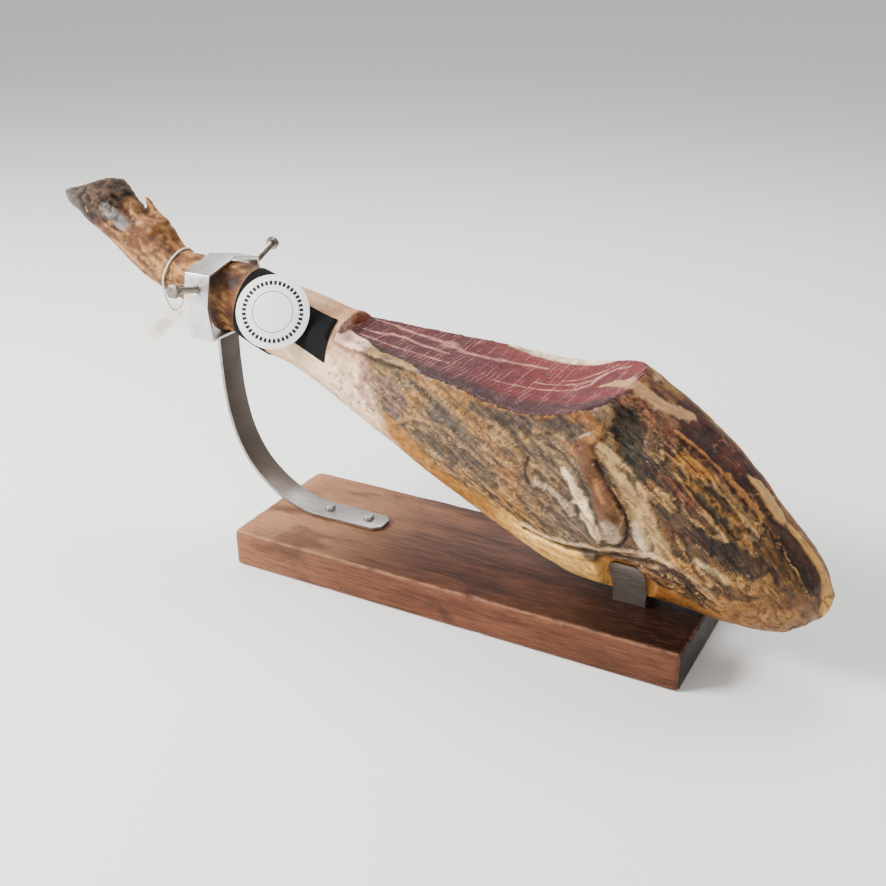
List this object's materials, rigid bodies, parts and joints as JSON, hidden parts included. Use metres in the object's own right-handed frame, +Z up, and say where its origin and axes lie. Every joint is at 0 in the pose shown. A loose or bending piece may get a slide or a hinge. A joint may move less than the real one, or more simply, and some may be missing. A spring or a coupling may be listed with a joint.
{
  "type": "cured ham on carving stand",
  "caption": "Whole bone-in cured ham, part carved, held by its hoof end in a steel clamp ring on a bent arm over a wooden plank",
  "frame": {"origin": "middle of the plank's underside, on the surface that the stand rests on", "axes": "+Z up; +X along the plank towards the ham's rump, the hoof points to -X; -Y is the carver's side with the carved face's near rim"},
  "size_m": [0.8389, 0.1737, 0.37],
  "materials": {
    "stained_wood": "dark stained plank, satin oil",
    "brushed_steel": "brushed flat bar",
    "bright_steel": "plated screws",
    "dark_steel": "dull dark sheet steel",
    "cured_meat": "cured rind, fat and lean, oily",
    "black_card": "printed card, satin",
    "white_card": "coated paper",
    "white_plastic": "moulded plastic seal"
  },
  "bodies": {
    "root": {"board": "stained_wood", "arm": "brushed_steel", "foot_bolt_1": "bright_steel", "foot_bolt_2": "bright_steel", "clamp_ring": "brushed_steel", "clamp_screw_front": "bright_steel", "clamp_screw_back": "bright_steel", "cradle": "dark_steel", "ham": "cured_meat", "label_band": "black_card", "label_card": "black_card", "label_disc": "white_card", "seal_loop": "white_plastic", "hang_tag": "white_card"}
  },
  "joints": []
}
